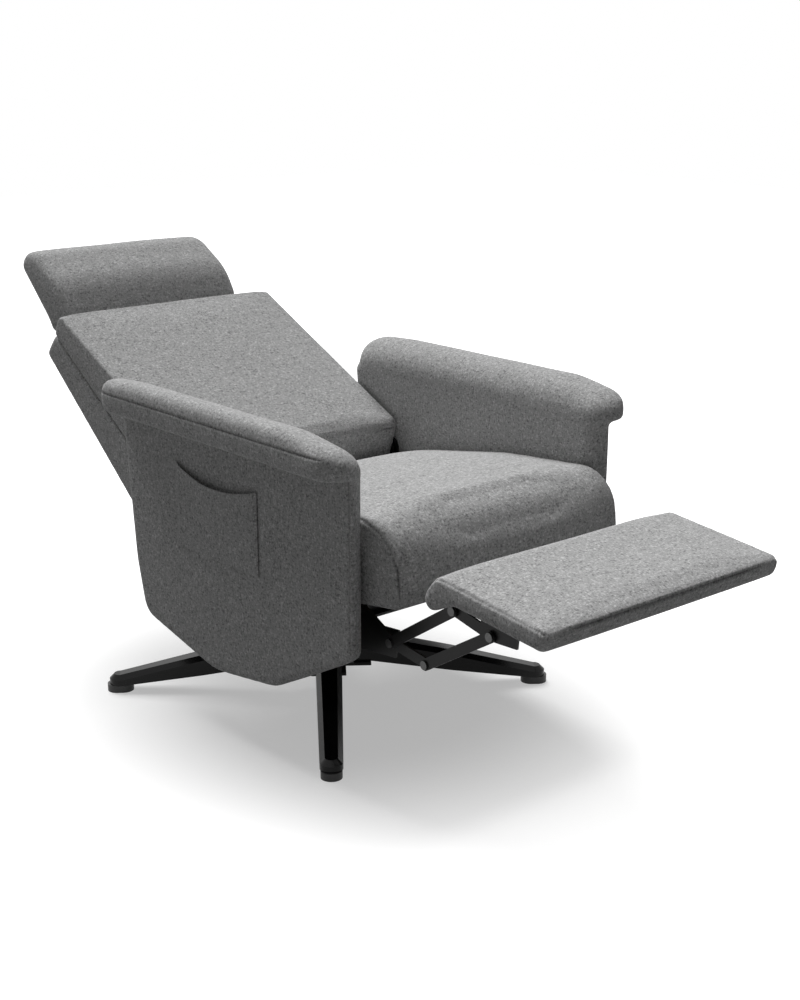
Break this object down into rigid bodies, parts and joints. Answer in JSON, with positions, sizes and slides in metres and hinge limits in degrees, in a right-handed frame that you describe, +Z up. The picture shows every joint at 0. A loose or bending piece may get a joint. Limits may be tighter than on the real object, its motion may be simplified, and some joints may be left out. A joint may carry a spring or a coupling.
{
  "type": "star base swivel recliner",
  "caption": "Upholstered recliner on a four-legged swivel base, reclined, with padded arms, a tilting headrest and a linked fold-out footrest.",
  "frame": {"origin": "on the floor, under the swivel axis", "axes": "+Z up; the sitter faces -Y; +X is the sitter's left"},
  "size_m": [0.6892, 1.5763, 0.7847],
  "materials": {
    "upholstery": "matt heathered weave",
    "black_steel": "gloss black coating",
    "bright_steel": "dark zinc",
    "black_plastic": "matt black",
    "frame_wood": "raw plywood",
    "webbing": "woven webbing"
  },
  "bodies": {
    "star_base": {"star_leg_1": "black_steel", "star_leg_2": "black_steel", "star_leg_3": "black_steel", "star_leg_4": "black_steel", "glides": "black_plastic", "hub": "black_steel", "foot_plate": "black_steel", "leg_bolts": "bright_steel", "spindle": "bright_steel", "thrust_washer": "black_plastic", "spindle_retainer": "bright_steel"},
    "carriage": {"swivel_plate": "black_steel", "cross_rail_front": "black_steel", "cross_rail_rear": "black_steel", "arm_mount_plates": "black_steel", "side_plate_right": "black_steel", "side_plate_left": "black_steel", "plate_bolts": "bright_steel", "seat_cushion": "upholstery", "seat_side_rails": "frame_wood", "seat_cross_rails": "frame_wood", "seat_straps": "webbing", "back_hinge_plate_right": "black_steel", "back_hinge_plate_left": "black_steel", "back_pivot_pins": "bright_steel", "arm_panel_right": "upholstery", "arm_panel_left": "upholstery", "arm_board_right": "frame_wood", "arm_board_left": "frame_wood", "arm_roll_right": "upholstery", "arm_roll_left": "upholstery", "side_pocket": "upholstery"},
    "back": {"back_cushion": "upholstery", "back_shell": "upholstery", "back_stile_right": "frame_wood", "back_stile_left": "frame_wood", "back_cross_rails": "frame_wood", "back_straps": "webbing", "back_hinge_leaf_right": "black_steel", "back_hinge_leaf_left": "black_steel", "headrest_support_right": "black_steel", "headrest_support_left": "black_steel", "headrest_pins": "bright_steel"},
    "headrest": {"headrest_pad": "upholstery", "headrest_board": "frame_wood", "headrest_bracket_right": "black_steel", "headrest_bracket_left": "black_steel"},
    "carrier_links": {"carrier_link_right": "black_steel", "carrier_link_left": "black_steel", "carrier_shaft": "bright_steel", "carrier_rivets": "bright_steel"},
    "rear_links": {"rear_link_right": "black_steel", "rear_link_left": "black_steel"},
    "front_links": {"front_link_right": "black_steel", "front_link_left": "black_steel"},
    "footrest": {"footrest_pad": "upholstery", "footrest_board": "frame_wood", "footrest_bracket_right": "black_steel", "footrest_bracket_left": "black_steel", "footrest_rivets": "bright_steel"}
  },
  "joints": [
    {"name": "swivel", "type": "hinge", "parent": "star_base", "child": "carriage", "pos_m": [0, 0, 0.18], "axis": [0, 0, 1], "continuous": true},
    {"name": "recline", "type": "hinge", "parent": "carriage", "child": "back", "pos_m": [0, 0.114, 0.412], "axis": [1, 0, 0], "range_deg": [0, 45]},
    {"name": "headrest_tilt", "type": "hinge", "parent": "back", "child": "headrest", "pos_m": [0, 0.57986, 0.63622], "axis": [1, 0, 0], "range_deg": [-20, 20]},
    {"name": "footrest_swing", "type": "hinge", "parent": "carriage", "child": "carrier_links", "pos_m": [0, -0.348, 0.313], "axis": [1, 0, 0], "range_deg": [0, 94.1]},
    {"name": "front_link_fold", "type": "hinge", "parent": "carrier_links", "child": "front_links", "pos_m": [0, -0.521, 0.257], "axis": [1, 0, 0], "range_deg": [-91.1, 0]},
    {"name": "rear_link_fold", "type": "hinge", "parent": "carrier_links", "child": "rear_links", "pos_m": [0, -0.436, 0.269], "axis": [1, 0, 0], "range_deg": [-88.1, 0]},
    {"name": "footrest_tilt", "type": "hinge", "parent": "front_links", "child": "footrest", "pos_m": [0, -0.668, 0.347], "axis": [1, 0, 0], "range_deg": [0, 90.1]}
  ],
  "couplings": [
    {"joint": "footrest_swing", "follows": "recline", "ratio": 2.0889},
    {"joint": "front_link_fold", "follows": "recline", "ratio": -2.0222},
    {"joint": "rear_link_fold", "follows": "recline", "ratio": -1.9556},
    {"joint": "footrest_tilt", "follows": "recline", "ratio": 2}
  ]
}
